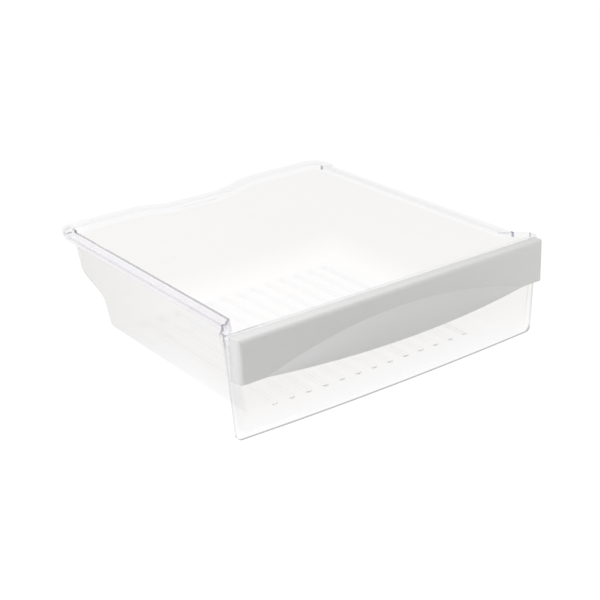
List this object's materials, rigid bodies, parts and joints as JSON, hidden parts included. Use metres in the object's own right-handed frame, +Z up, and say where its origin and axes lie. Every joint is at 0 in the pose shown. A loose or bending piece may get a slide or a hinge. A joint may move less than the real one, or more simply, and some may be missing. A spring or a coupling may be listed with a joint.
{
  "type": "refrigerator snack drawer",
  "caption": "Clear moulded refrigerator drawer hung by its side flanges, with a stepped and wavy back, a ribbed floor and a white handle trim with a flared finger lip.",
  "frame": {"origin": "middle of the drawer's footprint, at the height of the lowest point, which is the middle of the front panel's bowed bottom edge", "axes": "+X to the drawer's right as seen from the front, +Y from the front panel to the back, +Z up"},
  "size_m": [0.3966, 0.4034, 0.1165],
  "materials": {
    "clear_plastic": "clear injection-moulded polystyrene, polished",
    "white_plastic": "opaque white injection-moulded ABS, semi-gloss"
  },
  "bodies": {
    "root": {"clear_pan": "clear_plastic", "handle_trim": "white_plastic"}
  },
  "joints": []
}
